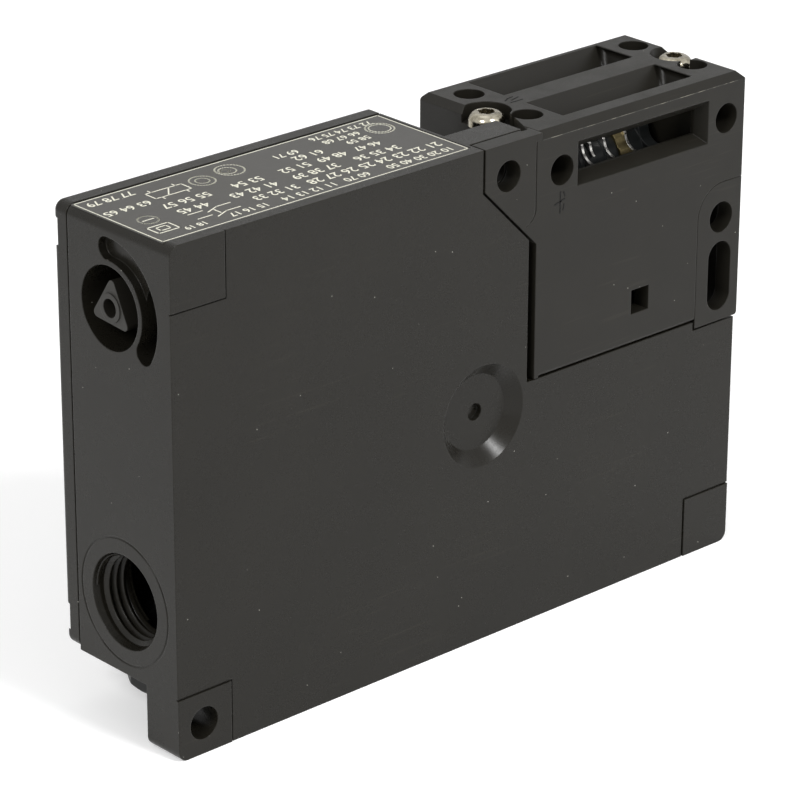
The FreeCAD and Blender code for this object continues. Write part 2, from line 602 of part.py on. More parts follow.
def make_head_cap():
    outline = [(head_x, head_z), (length, head_z), (length, height), (ear_x, height),
               (ear_x, notch_chamfer_z + 0.2), (head_x, notch_chamfer_z + 0.2 - (head_x - ear_x))]
    shell = prism_y([(head_x, head_z), (length, head_z), (length, height), (head_x, height)], 0, head_depth)
    shell = bevel_edges(shell, head_edge, lambda p: abs(p.z - height) < 1e-6)
    shell = round_edges(shell, head_edge_r,
                        lambda p: abs(p.y - head_depth) < 1e-6 or p.z < height - head_edge - 0.1)
    ear = prism_y(outline, 0, ear_thick).common(box(ear_x, head_x + 4, 0, ear_thick, head_z, height))
    ear = ear.cut(box(head_x + 1, head_x + 5, -1, ear_thick + 1, head_z, height + 1))
    shell = shell.fuse(ear)
    shell = shell.cut(cyl_y(ear_hole_r, ear_hole_x, -1, ear_thick + 1, ear_hole_z))

    # room for the lower ear, which belongs to the carrier
    shell = shell.cut(lower_ear_outline(-0.1))
    # inside
    shell = shell.cut(box(cavity_left, cavity_right_low, head_wall, head_back, head_z - 1, cavity_top))
    shell = shell.cut(box(cavity_left, cavity_right, head_wall, head_back, cavity_low_top, cavity_top))
    shell = shell.cut(box(base_x0 - seat, head_right_seam_x, head_wall - base_lap, head_back + base_lap,
                          head_z - 1, head_floor_top + seat))
    # tongue slots in the top
    for y in slot_ys:
        funnel = tapered_z(slot_x, y, (slot_length, slot_width), (slot_throat_length, slot_throat_width),
                           height, height - slot_funnel)
        shell = shell.cut(round_edges(funnel, slot_corner_r, lambda p: p.x > slot_x))
        throat = box(slot_x - slot_throat_length / 2, slot_x + slot_throat_length / 2,
                     y - slot_throat_width / 2, y + slot_throat_width / 2,
                     cavity_top - 1, height - slot_funnel)
        shell = shell.cut(throat)
    # tongue window in the mounting face
    shell = shell.cut(window_funnel_solid())
    shell = shell.cut(box(head_mid_x - window_throat_length / 2, head_mid_x + window_throat_length / 2,
                          window_funnel, head_wall + 1, window_throat_z - window_throat_height / 2,
                          window_throat_z + window_throat_height / 2))
    # blind holes for the cover screws and the square peep window
    for x in cover_hole_xs:
        shell = shell.cut(cyl_y(cover_hole_r, x, -1, cover_hole_depth, cover_hole_z))
        for y in slot_ys:
            shell = shell.cut(cyl_z(cover_hole_r, x, y, height - cover_hole_depth - 1.5, height + 1))
    shell = shell.cut(box(head_mid_x - peep_w / 2, head_mid_x + peep_w / 2, -1, head_wall + 1,
                          peep_z - peep_h / 2, peep_z + peep_h / 2))
    # pockets and through holes of the two head screws
    for x in head_screw_xs:
        shell = shell.cut(cyl_z(head_pocket_r, x, head_screw_y, head_seat_z, height + 1))
        shell = shell.cut(cyl_z(screw_r + screw_clear, x, head_screw_y, head_z - 1, head_seat_z + 1))
    wedge = [V(head_x - 1, 2.9, 0), V(head_x + 0.4, 2.9, 0), V(head_x + 4.8, head_screw_y - 2.3, 0),
             V(head_x + 3, head_screw_y, 0), V(head_x - 1, head_screw_y, 0)]
    shell = shell.cut(Part.Face(Part.makePolygon(wedge + wedge[:1])).extrude(V(0, 0, height)).translated(
        V(0, 0, head_seat_z + 0.6)))
    # socket that takes the carrier's post at the right end
    half = post_y_width / 2
    shell = shell.cut(box(length - head_screw_inset - post_width, length - 0.6,
                          head_screw_y - half, head_screw_y + half, lower_ear_top - 1, post_z + seat))
    # blind bores of the drum's axle, and the bore of the locking bolt
    shell = shell.cut(cyl_x(axle_r, axle_x0, axle_x1, drum_y, drum_z))
    shell = shell.cut(cyl_x(bolt_r + running, head_x - 1, cavity_left + 1, bolt_y, bolt_z))
    # witness line of the ear
    right = head_x - 0.15
    line_foot = notch_corner_z + 5.5
    line = box(right - witness_width, right, -1, witness_depth, line_foot, height - head_edge)
    bend_x = right - witness_width / 2 - witness_r
    bend = cyl_y(witness_r + witness_width / 2, bend_x, -1, witness_depth, line_foot).cut(
        cyl_y(witness_r - witness_width / 2, bend_x, -2, witness_depth + 1, line_foot))
    bend = bend.common(box(bend_x + witness_r / 4, right, -1, witness_depth,
                           line_foot - 2 * witness_r, line_foot))
    return shell.cut(line).cut(bend).removeSplitter()


def window_funnel_solid():
    wires = []
    for w, h, z, y in ((window_length, window_height, window_z, 0.0),
                       (window_throat_length, window_throat_height, window_throat_z, window_funnel)):
        pts = [V(head_mid_x - w / 2, y, z - h / 2), V(head_mid_x + w / 2, y, z - h / 2),
               V(head_mid_x + w / 2, y, z + h / 2), V(head_mid_x - w / 2, y, z + h / 2)]
        wires.append(Part.makePolygon(pts + pts[:1]))
    return Part.makeLoft(wires, True, True)


def make_head_carrier():
    ear = lower_ear_outline()
    ear = round_edges(ear, foot_edge_r, lambda p: abs(p.x - length) < 1e-6 and p.z < head_z)
    # through holes at the mounting face, and the wider bores that reach them from the lid's side
    for r, y0 in ((lower_hole_r, -1), (ear_bore_r, ear_thick)):
        slot = lower_slot_length + 2 * (r - lower_hole_r)
        ear = ear.cut(cyl_y(r, lower_ear_mid_x, y0, head_depth + 1, lower_hole_z))
        ear = ear.cut(long_hole_y(lower_ear_mid_x, lower_slot_z, 2 * r, slot, y0, head_depth + 1))
    base = box(base_x0, head_right_seam_x + 1, head_wall - base_lap + seat, head_back + base_lap - seat,
               head_z, head_floor_top)
    base = base.cut(cyl_z(plunger_r + running, plunger_x, plunger_y, head_z - 1, head_floor_top + 1))
    half = post_y_width / 2 - loose
    post = box(length - head_screw_inset - post_width + loose, length - 0.6 - loose,
               head_screw_y - half, head_screw_y + half, lower_ear_top - 0.5, post_z)
    post = post.cut(cyl_z(screw_r, head_screw_xs[1], head_screw_y, lower_ear_top + 0.4, post_z + 1))
    carrier = ear.fuse(base).fuse(post)
    return carrier.removeSplitter()


def make_head_seal():
    """Flat ring round the plunger, squeezed between the deck of the housing and the carrier."""
    ring = cyl_z(plunger_r + 3.0, plunger_x, plunger_y, notch_floor_z, head_z)
    return ring.cut(cyl_z(plunger_r + 0.4, plunger_x, plunger_y, notch_floor_z - 1, head_z + 1))


def make_head_screws():
    """The long left screw bites in the housing's boss, the short right one in the carrier's post."""
    ends = (deck_z - head_screw_boss + 1 + hole_below, lower_ear_top + 0.4 + hole_below)
    return Part.makeCompound([
        pan_screw(head_pan_r, head_pan_thick, screw_r - thread_slack, head_seat_z - end,
                  (x, head_screw_y, head_seat_z), Z_AXIS) for x, end in zip(head_screw_xs, ends)])


# =============================================================================================
# tongue drum
# =============================================================================================


def tongue_notches(x0, x1):
    """Pockets in the rim, one for each way that a tongue can come in."""
    near, far = slot_ys
    rests = [(near, drum_z + near_rest), (near + window_rest[0], drum_z + window_rest[1]),
             (far, drum_z + near_rest)]
    first, *others = [cyl_x(tongue_bar_r, x0, x1, y, z) for y, z in rests]
    return first.multiFuse(others)


def cam_face():
    """Plain circle that opens into a spiral where the plunger presses, growing with the drum's turn."""
    lead = 12.0
    grow = plunger_travel / drum_turn_deg
    ramp, start, end = spiral_x(drum_y, drum_z, 0, drum_turn_deg + lead, cam_track_r,
                                cam_track_r + grow * (drum_turn_deg + lead))
    tail, _, _ = spiral_x(drum_y, drum_z, drum_turn_deg + lead + 14, 360, cam_track_r, cam_track_r)
    back = Part.LineSegment(end, tail.Vertexes[0].Point).toShape()
    return Part.Face(Part.Wire(Part.__sortEdges__([ramp, back, tail])))


def bolt_pocket():
    """Hole in the drum's left flank, with the ramp that leads the bolt into it as the drum turns."""
    steps = 6
    pocket = None
    for i in range(steps + 1):
        depth = bolt_travel * min(i + 1, steps) / steps + loose
        hole = cyl_x(bolt_r + seat, drum_x0 - 1, drum_x0 + depth, bolt_y, bolt_z)
        hole.rotate(V(0, drum_y, drum_z), X_AXIS, -drum_turn_deg * i / steps)
        pocket = hole if pocket is None else pocket.fuse(hole)
    return pocket


def make_drum():
    flange = cyl_x(drum_r, drum_x0, drum_x0 + drum_flange_left, drum_y, drum_z)
    far_flange = cyl_x(drum_r, drum_x1 - drum_flange_right, drum_x1, drum_y, drum_z)
    cone_x0 = drum_x0 + drum_flange_left
    cone = Part.makeCone(drum_r, drum_core_r, drum_cone_length, V(cone_x0, drum_y, drum_z), X_AXIS)
    notches = tongue_notches(drum_x0 + bolt_travel + 1.0, drum_x1 + 1)
    tongue_part = flange.fuse(cone).fuse(far_flange).cut(notches)
    drum = tongue_part.fuse(cyl_x(drum_core_r, drum_x0, drum_x1, drum_y, drum_z))
    drum = drum.fuse(cyl_x(hub_r, drum_x1, cavity_right - seat, drum_y, drum_z))
    cam_x0, cam_width = plunger_x - plunger_r - cam_side, 2 * (plunger_r + cam_side)
    drum = drum.cut(box(cam_x0, cam_x0 + cam_width, 0, head_depth, 0, height))
    drum = drum.fuse(cam_face().translated(V(cam_x0, 0, 0)).extrude(V(cam_width, 0, 0)))
    drum = drum.cut(bolt_pocket())
    return drum.cut(cyl_x(axle_r + running, drum_x0 - 1, cavity_right, drum_y, drum_z)).removeSplitter()


def make_drum_discs():
    """Thin steel rims on the drum's core; the one over the cam is cut away where the plunger stands."""
    discs = [rim_disc(x) for x in disc_xs]
    upper = box(half_disc_x - 1, half_disc_x + 2, 0, head_depth, drum_z + drum_core_r / 2, height)
    discs.append(rim_disc(half_disc_x).common(upper))
    return Part.makeCompound(discs)


def rim_disc(x):
    disc = cyl_x(drum_r, x, x + disc_thick, drum_y, drum_z)
    disc = disc.cut(cyl_x(drum_core_r, x - 1, x + disc_thick + 1, drum_y, drum_z))
    return disc.cut(tongue_notches(x - 1, x + disc_thick + 1))


def make_driver_plate():
    """Bent brass liner on the drum's core, where the tongue's bar bears."""
    x0, x1 = driver_x, driver_x + driver_width
    ring = cyl_x(drum_core_r + driver_thick, x0, x1, drum_y, drum_z)
    ring = ring.cut(cyl_x(drum_core_r, x0 - 1, x1 + 1, drum_y, drum_z))
    ring = ring.cut(box(x0 - 1, x1 + 1, 0, head_depth, 0, drum_z))
    return ring.cut(tongue_notches(x0 - 1, x1 + 1))


def make_axle():
    return cyl_x(axle_r, axle_x0, axle_x1, drum_y, drum_z)


# =============================================================================================
# locking bolt and solenoid
# =============================================================================================

arm_x1 = arm_x0 + arm_thick
pole_x1 = coil_x0 + pole_length


def make_bolt():
    rod = cyl_x(bolt_r, arm_x1, drum_x0 - seat, bolt_y, bolt_z)
    return bevel_circle(rod, bolt_tip_bevel, drum_x0 - seat)


def bevel_circle(shape, size, x):
    """Chamfer of the full circles that lie at the given x."""
    circles = [e for e in shape.Edges if isinstance(e.Curve, Part.Circle)]
    return shape.makeChamfer(size, [e for e in circles if abs(e.Curve.Center.x - x) < 1e-6])


def make_bolt_bush():
    bush = cyl_x(bush_r, notch_inner_x - wall - 0.8, head_x - seat, bolt_y, bolt_z)
    return bush.cut(cyl_x(bolt_r + running, notch_inner_x - wall - 2, head_x + 1, bolt_y, bolt_z))


def make_armature():
    body = cyl_x(armature_r, pole_x1 + loose, arm_x0, coil_y, coil_z)
    return body.cut(cyl_x(armature_bore_r, pole_x1, pole_x1 + loose + armature_bore_depth, coil_y, coil_z))


def make_bolt_spring():
    mean_r = armature_bore_r - spring_wire_r - seat - running
    end = pole_x1 + armature_bore_depth + seat
    spring = coil_spring(0, 0, pole_x1 + spring_slack, end, mean_r, spring_wire_r, spring_turns)
    spring.rotate(V(0, 0, 0), Y_AXIS, 90)
    return spring.translated(V(0, coil_y, coil_z))


def make_bolt_arm():
    """Moulded slide between armature and bolt, with the leg that carries the lock contacts."""
    plate = box(arm_x0, arm_x1, coil_y - 5.0, bolt_y + 3.0, coil_z - 6.5, coil_z + 5.0)
    leg_y = (coil_y + bolt_y) / 2 - 1.3
    leg = box(arm_x0, arm_x1, leg_y - lock_leg_width / 2, leg_y + lock_leg_width / 2,
              lock_floor_z + 2.2, coil_z - 6.5)
    return plate.fuse(leg).removeSplitter()


def make_yoke():
    y0, y1 = coil_y - yoke_depth / 2, coil_y + yoke_depth / 2
    z0, z1 = coil_z - yoke_width / 2, coil_z + yoke_width / 2
    frame = box(coil_x0, coil_x1, y0, y1, z0, z1)
    x0, x1 = coil_x0 + yoke_thick, coil_x1 - yoke_thick
    frame = frame.cut(box(x0, x1, y0 - 1, y1 + 1, z0 + yoke_thick, z1 - yoke_thick))
    frame = frame.cut(cyl_x(armature_r + bobbin_tube, x1 - 1, coil_x1 + 1, coil_y, coil_z))
    return frame.cut(cyl_x(pole_rivet_r, coil_x0 - 1, x0 + 1, coil_y, coil_z))


def make_bobbin():
    x0, x1 = coil_x0 + yoke_thick, coil_x1 - yoke_thick
    half = yoke_width / 2 - yoke_thick - seat
    bobbin = cyl_x(armature_r + bobbin_tube, x0, x1, coil_y, coil_z)
    for x in (x0, x1 - bobbin_flange):
        bobbin = bobbin.fuse(box(x, x + bobbin_flange, coil_y - bobbin_flange_r, coil_y + bobbin_flange_r,
                                 coil_z - half, coil_z + half))
    return bobbin.cut(cyl_x(armature_r + running, x0 - 1, x1 + 1, coil_y, coil_z)).removeSplitter()


def make_winding():
    x0, x1 = coil_x0 + yoke_thick + bobbin_flange, coil_x1 - yoke_thick - bobbin_flange
    coil = cyl_x(winding_r, x0, x1, coil_y, coil_z)
    return coil.cut(cyl_x(armature_r + bobbin_tube, x0 - 1, x1 + 1, coil_y, coil_z))


def make_pole_piece():
    core = cyl_x(armature_r - thread_slack, coil_x0 + yoke_thick, pole_x1, coil_y, coil_z)
    rivet = cyl_x(pole_rivet_r, coil_x0 - rivet_stand, coil_x0 + yoke_thick, coil_y, coil_z)
    return core.fuse(rivet).removeSplitter()


# =============================================================================================
# door plunger
# =============================================================================================


def make_plunger():
    """Rod under the drum's cam, with the pale flag that shows its place through the small window."""
    tip_z = drum_z - cam_track_r - cam_gap
    cone = plunger_r - plunger_tip_r
    rod = cyl_z(plunger_r, plunger_x, plunger_y, plunger_end_z, tip_z - cone)
    tip = Part.makeCone(plunger_r, plunger_tip_r, cone, V(plunger_x, plunger_y, tip_z - cone), Z_AXIS)
    flag = box(head_mid_x - flag_left, head_mid_x + flag_right, head_wall + 0.4, plunger_y,
               peep_z - 0.1, peep_z + flag_length)
    return rod.fuse(tip).fuse(flag).removeSplitter()


def make_plunger_spring():
    return coil_spring(plunger_x, plunger_y, door_floor_z + spring_slack, plunger_end_z - spring_slack,
                       plunger_spring_r, plunger_wire_r, spring_turns)


# =============================================================================================
# contact blocks
# =============================================================================================


def terminal_places(block):
    """Centres (x, z) of the wire clamps along the block's lower end."""
    x0, x1, _, _, z0, _ = block
    middle = (x0 + x1) / 2
    return [(middle + terminal_pitch * i, z0 + terminal_drop) for i in (-1, 0, 1)]


def contact_block(block, floor_z):
    """Moulded block, open to the lid and upwards, with a pocket for each wire clamp."""
    x0, x1, y0, y1, z0, z1 = block
    body = box(*block)
    body = body.cut(box(x0 + block_wall, x1 - block_wall, y0 + block_wall, y1 + 1, floor_z, z1 + 1))
    half = clamp_size / 2 + clamp_fit
    pocket_y = y1 - clamp_depth - terminal_head_thick - terminal_sunk - clamp_fit
    for x, z in terminal_places(block):
        body = body.cut(box(x - half, x + half, pocket_y, y1 + 1, z - half, z + half))
    return body


def make_lock_block():
    return contact_block(lock_block, lock_floor_z)


def make_door_block():
    return contact_block(door_block, door_floor_z)


def make_lock_contacts():
    """Standing strips before and behind the moving bridges."""
    behind = arm_x0 - 2 * contact_thick - contact_gap
    before = arm_x1 + contact_thick + bolt_travel + contact_gap
    z0, z1 = lock_floor_z, lock_floor_z + contact_length
    strips = []
    for x in (behind, before):
        for y in (coil_y - contact_side, coil_y + contact_side + 0.6):
            strips.append(box(x, x + contact_thick, y, y + contact_width, z0, z1))
    return Part.makeCompound(strips)


def make_lock_bridges():
    y0, y1, z0 = coil_y - 3.8, coil_y + 6.8, lock_floor_z + 3.0
    return Part.makeCompound([box(arm_x0 - contact_thick, arm_x0, y0, y1, z0, z0 + bridge_length),
                              box(arm_x1, arm_x1 + contact_thick, y0, y1, z0, z0 + bridge_length)])


def make_door_contacts():
    """Strips above and below the moving bridge, fixed in the block's side walls."""
    x0, x1 = door_block[0] + block_wall, door_block[1] - block_wall
    strips = []
    for z in (bridge_z[0] - plunger_travel - contact_gap - contact_thick, bridge_z[1] + contact_gap):
        for x in (x0, x1 - door_contact_length):
            strips.append(box(x, x + door_contact_length, plunger_y - contact_width,
                              plunger_y + contact_width, z, z + contact_thick))
    return Part.makeCompound(strips)


def make_door_bridge():
    x0, x1 = door_block[0] + block_wall + 1.2, door_block[1] - block_wall - 1.2
    bar = box(x0, x1, plunger_y - 2.6, plunger_y + 2.6, *bridge_z)
    return bar.cut(cyl_z(plunger_r, plunger_x, plunger_y, bridge_z[0] - 1, bridge_z[1] + 1))


def make_terminal_clamps():
    parts = []
    for block in (lock_block, door_block):
        y = block[3]
        for x, z in terminal_places(block):
            half, front = clamp_size / 2, y - terminal_sunk - terminal_head_thick
            cage = box(x - half, x + half, front - clamp_depth, front, z - half, z + half)
            cage = cage.cut(box(x - half + clamp_wall, x + half - clamp_wall,
                                front - clamp_depth + clamp_wall, front - clamp_wall,
                                z - half - 1, z + half + 1))
            parts.append(cage.cut(cyl_y(clamp_hole_r, x, front - clamp_wall - 0.1, y, z)))
    return Part.makeCompound(parts)


def make_terminal_screws():
    parts = []
    for block in (lock_block, door_block):
        y = block[3]
        for x, z in terminal_places(block):
            under = y - terminal_sunk - terminal_head_thick
            screw = cyl_y(terminal_head_r, x, under, y - terminal_sunk, z)
            screw = screw.fuse(cyl_y(clamp_hole_r - thread_slack, x, under - clamp_wall, under, z))
            groove = box(x - terminal_head_r - 1, x + terminal_head_r + 1,
                         under + terminal_head_thick / 2, y, z - terminal_slot / 2, z + terminal_slot / 2)
            parts.append(screw.cut(groove).removeSplitter())
    return Part.makeCompound(parts)


# =============================================================================================
# manual release
# =============================================================================================

scroll_x0 = spindle_bush_x + loose
scroll_x1 = scroll_x0 + scroll_thick
release_per_deg = release_travel / release_turn_deg


def make_spindle():
    """Triangular key stud, its shank through the bush and the scroll cam behind it."""
    stud_x = key_recess_depth - key_stud_gap
    corner_r = triangle_r + triangle_tip_r       # the fillet takes this much off a corner's reach
    pts = []
    for k in range(3):
        a = math.radians(90 + triangle_turn + 120 * k)
        pts.append(V(key_ring_height, key_y + corner_r * math.cos(a), key_z + corner_r * math.sin(a)))
    stud = Part.Face(Part.makePolygon(pts + pts[:1])).extrude(V(stud_x - key_ring_height, 0, 0))
    ends = [e for e in stud.Edges if abs(e.Vertexes[0].Point.x - e.Vertexes[1].Point.x) > 1]
    stud = stud.makeFillet(triangle_tip_r, ends)
    stud = stud.fuse(cyl_x(key_ring_r, 0, 1, key_y, key_z))
    stud = stud.cut(cyl_x(spindle_dimple_r, -1, spindle_dimple_depth, key_y, key_z))
    shank = cyl_x(shank_r, stud_x, scroll_x1, key_y, key_z)
    groove_end = oring_groove_x + oring_groove_width
    groove = cyl_x(shank_r + 1, oring_groove_x, groove_end, key_y, key_z).cut(
        cyl_x(shank_r - 2 * oring_tube_r, oring_groove_x, groove_end, key_y, key_z))
    shank = shank.cut(groove)
    return stud.fuse(shank).fuse(scroll_cam()).removeSplitter()


def scroll_cam():
    """Archimedean cam whose radius under the axis grows by the release travel in half a turn."""
    def point(deg, r):
        a = math.radians(deg)
        return V(scroll_x0, key_y + r * math.cos(a), key_z + r * math.sin(a))
    steps = 18
    spread = 20.0
    pts = []
    for i in range(steps + 1):
        back = -spread + (release_turn_deg + 2 * spread) * i / steps
        pts.append(point(-90 - back, scroll_small_r + release_per_deg * back))
    curve = Part.BSplineCurve()
    curve.interpolate(pts)
    close = Part.LineSegment(pts[-1], pts[0]).toShape()
    return Part.Face(Part.Wire([curve.toShape(), close])).extrude(V(scroll_thick, 0, 0))


def make_oring():
    middle = V(oring_groove_x + oring_groove_width / 2, key_y, key_z)
    return Part.makeTorus(shank_r - oring_tube_r, oring_tube_r, middle, X_AXIS)


def make_retainer():
    """Spring clip on the spindle's tail, behind the cam."""
    return cyl_x(clip_r, scroll_x1, scroll_x1 + clip_thick, key_y, key_z)


def make_release_slide():
    """Bent strip: follower under the cam, leg down the back wall, bar along to the bolt arm."""
    top = key_z - scroll_small_r - loose
    y0, y1 = floor_thick + loose, floor_thick + loose + 1.0
    x0 = scroll_x0 + 0.2
    finger_x0 = arm_x1 + bolt_travel + contact_thick + loose
    bar_z0 = lock_block[5] - 8.0
    bar_z1 = bar_z0 + 4.0
    follower = box(x0, scroll_x1 - 0.2, y0, key_y + 1.2, top - 1.2, top)
    leg = box(x0, x0 + 6.0, y0, y1, bar_z0, top)
    bar = box(x0, finger_x0 + 3.4, y0, y1, bar_z0, bar_z1)
    riser = box(finger_x0, finger_x0 + 3.4, y0, y1, bar_z0, coil_z + 1)
    finger = box(finger_x0, finger_x0 + 1.2, y0, coil_y - 1.6,
                 lock_block[5] + release_travel + 1, coil_z + 1)
    return follower.fuse(leg).fuse(bar).fuse(riser).fuse(finger).removeSplitter()


# =============================================================================================
# export
# =============================================================================================

NODES = {
    "housing": make_housing, "lid": make_lid, "lid_gasket": make_lid_gasket, "lid_screws": make_lid_screws,
    "rating_label": make_label, "blanking_plug": make_plug, "plug_seal": make_plug_seal,
    "head_cap": make_head_cap, "head_carrier": make_head_carrier, "head_seal": make_head_seal,
    "head_screws": make_head_screws, "tongue_drum": make_drum, "drum_discs": make_drum_discs,
    "driver_plate": make_driver_plate, "drum_axle": make_axle, "locking_bolt": make_bolt,
    "bolt_bush": make_bolt_bush, "armature": make_armature, "bolt_spring": make_bolt_spring,
    "bolt_arm": make_bolt_arm, "solenoid_yoke": make_yoke, "coil_bobbin": make_bobbin,
    "coil_winding": make_winding, "pole_piece": make_pole_piece, "door_plunger": make_plunger,
    "plunger_spring": make_plunger_spring, "lock_contact_block": make_lock_block,
    "door_contact_block": make_door_block, "lock_contacts": make_lock_contacts,
    "door_contacts": make_door_contacts, "lock_bridges": make_lock_bridges, "door_bridge": make_door_bridge,
    "terminal_clamps": make_terminal_clamps, "terminal_screws": make_terminal_screws,
    "release_spindle": make_spindle, "spindle_oring": make_oring, "spindle_clip": make_retainer,
    "release_slide": make_release_slide,
}


def main():
    os.makedirs("parts", exist_ok=True)
    datum = V(-hole_x, 0, -hole_z)
    for node, make in NODES.items():
        shape = make().translated(datum)
        shape.exportStep("parts/" + node + ".step")


main()
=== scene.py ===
"""Looks of the tongue interlock switch: materials, thread, print, marks, dust, light and camera."""

import bpy
import bmesh
import json
import math
from mathutils import Euler, Matrix, Vector

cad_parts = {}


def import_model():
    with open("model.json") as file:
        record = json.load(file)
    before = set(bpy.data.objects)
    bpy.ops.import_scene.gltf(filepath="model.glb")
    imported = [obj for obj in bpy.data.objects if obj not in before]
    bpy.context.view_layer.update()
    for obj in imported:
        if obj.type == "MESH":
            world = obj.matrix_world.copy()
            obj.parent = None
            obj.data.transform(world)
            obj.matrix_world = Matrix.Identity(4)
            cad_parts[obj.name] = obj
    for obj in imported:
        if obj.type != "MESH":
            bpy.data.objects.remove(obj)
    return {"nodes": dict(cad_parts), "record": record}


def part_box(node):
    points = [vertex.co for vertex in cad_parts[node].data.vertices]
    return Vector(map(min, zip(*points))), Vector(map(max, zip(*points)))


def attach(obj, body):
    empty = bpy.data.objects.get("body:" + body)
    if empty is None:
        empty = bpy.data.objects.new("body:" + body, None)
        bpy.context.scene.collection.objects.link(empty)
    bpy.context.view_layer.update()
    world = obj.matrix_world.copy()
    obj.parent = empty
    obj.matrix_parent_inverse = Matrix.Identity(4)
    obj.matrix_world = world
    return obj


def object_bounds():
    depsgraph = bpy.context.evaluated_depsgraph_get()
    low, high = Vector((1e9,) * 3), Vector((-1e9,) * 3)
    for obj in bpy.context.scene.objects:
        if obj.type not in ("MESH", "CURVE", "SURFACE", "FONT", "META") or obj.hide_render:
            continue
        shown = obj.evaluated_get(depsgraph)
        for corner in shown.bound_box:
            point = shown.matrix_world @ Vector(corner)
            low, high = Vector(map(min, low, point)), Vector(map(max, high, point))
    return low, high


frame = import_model()
cad_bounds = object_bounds()

MM = 0.001
MOUNTS = {mount["name"]: mount for mount in frame["record"]["mounts"]}
RIGHT, BACK, UP = Vector((1, 0, 0)), Vector((0, 1, 0)), Vector((0, 0, 1))

# colours, as linear values
BLACK = (0.0090, 0.0081, 0.0060)
HEAD_BLACK = (0.0096, 0.0087, 0.0066)
MARK_BLACK = (0.0022, 0.0021, 0.0019)
DUST = (0.42, 0.41, 0.37)
LABEL_DUST = (0.4, 0.39, 0.35)

# plastic: how much paler than its own colour it is where it is cloudy, scratched, or on its edges
# the pale edges are partly wear and partly a painted highlight where the edges catch the light
CLOUDY, EDGE_WEAR_AND_HIGHLIGHT, SCRATCHED = 1.2, 3.2, 4.5
SCRATCH_COVER = 0.16
PLASTIC_SPECULAR = 0.20
GRAIN_MM = 0.22
PLASTIC_EDGE_MM, METAL_EDGE_MM = 0.25, 0.12
BEVEL_SAMPLES = 6


# ---- node helpers --------------------------------------------------------------------------

class Graph:
    """Material whose node tree is written from left to right."""

    INPUTS = {"base": "Base Color", "rough": "Roughness", "specular": "Specular IOR Level",
              "metallic": "Metallic", "normal": "Normal", "glow": "Emission Color",
              "glow_strength": "Emission Strength"}

    def __init__(self, name):
        self.material = bpy.data.materials.new(name)
        self.material.use_nodes = True
        self.tree = self.material.node_tree
        self.shader = self.tree.nodes["Principled BSDF"]
        self.place = self.node("ShaderNodeTexCoord").outputs["Object"]

    def node(self, kind, **settings):
        made = self.tree.nodes.new(kind)
        for key, value in settings.items():
            setattr(made, key, value)
        return made

    def link(self, source, target):
        self.tree.links.new(source, target)

    def put(self, socket, value):
        """Feeds an input with another node's output, a colour or a number."""
        if isinstance(value, bpy.types.NodeSocket):
            self.link(value, socket)
        elif isinstance(value, tuple):
            socket.default_value = (*value, 1.0)
        else:
            socket.default_value = value

    def shade(self, **values):
        """Feeds the shader's inputs and returns the material."""
        for key, value in values.items():
            self.put(self.shader.inputs[self.INPUTS[key]], value)
        return self.material

    def stretched(self, scale, turn=(0, 0, 0)):
        """Object coordinates with a different scale along each axis."""
        mapping = self.node("ShaderNodeMapping")
        mapping.inputs["Scale"].default_value = scale
        mapping.inputs["Rotation"].default_value = turn
        self.link(self.place, mapping.inputs["Vector"])
        return mapping.outputs["Vector"]

    def noise(self, per_mm, detail=2.0, rough=0.5, vector=None):
        """Noise whose features measure about 1 / per_mm millimetres."""
        made = self.node("ShaderNodeTexNoise")
        made.inputs["Scale"].default_value = per_mm / MM
        made.inputs["Detail"].default_value = detail
        made.inputs["Roughness"].default_value = rough
        self.link(vector or self.place, made.inputs["Vector"])
        return made.outputs["Fac"]

    def cells(self, per_mm, vector=None):
        """Distance to scattered points, one in each cell of about 1 / per_mm millimetres."""
        made = self.node("ShaderNodeTexVoronoi")
        made.inputs["Scale"].default_value = per_mm / MM
        self.link(vector or self.place, made.inputs["Vector"])
        return made.outputs["Distance"]

    def band(self, value, low, high, out_low=0.0, out_high=1.0):
        """Clamped linear ramp from one pair of values to another."""
        made = self.node("ShaderNodeMapRange")
        ends = {"From Min": low, "From Max": high, "To Min": out_low, "To Max": out_high}
        for name, number in ends.items():
            made.inputs[name].default_value = number
        self.link(value, made.inputs["Value"])
        return made.outputs["Result"]

    def math(self, operation, first, second):
        made = self.node("ShaderNodeMath", operation=operation)
        for socket, value in zip(made.inputs, (first, second)):
            self.put(socket, value)
        return made.outputs["Value"]

    def mix(self, factor, first, second):
        """Colour mix; each end is a colour or a socket."""
        made = self.node("ShaderNodeMix", data_type="RGBA")
        for index, value in ((0, factor), (6, first), (7, second)):   # inputs of the colour mode
            self.put(made.inputs[index], value)
        return made.outputs[2]

    def bump(self, height, depth_mm, strength=1.0, normal=None):
        made = self.node("ShaderNodeBump")
        made.inputs["Distance"].default_value = depth_mm * MM
        made.inputs["Strength"].default_value = strength
        self.link(height, made.inputs["Height"])
        if normal is not None:
            self.link(normal, made.inputs["Normal"])
        return made.outputs["Normal"]

    def rounded(self, radius_mm):
        """Normal with its edges rounded off by the radius."""
        made = self.node("ShaderNodeBevel", samples=BEVEL_SAMPLES)
        made.inputs["Radius"].default_value = radius_mm * MM
        return made.outputs["Normal"]

    def edge_factor(self, radius_mm):
        """One on the edges of the form, zero on its flats."""
        product = self.node("ShaderNodeVectorMath", operation="DOT_PRODUCT")
        self.link(self.rounded(radius_mm), product.inputs[0])
        self.link(self.node("ShaderNodeNewGeometry").outputs["Normal"], product.inputs[1])
        flat, edge = 0.999, 0.86
        return self.band(product.outputs["Value"], flat, edge)


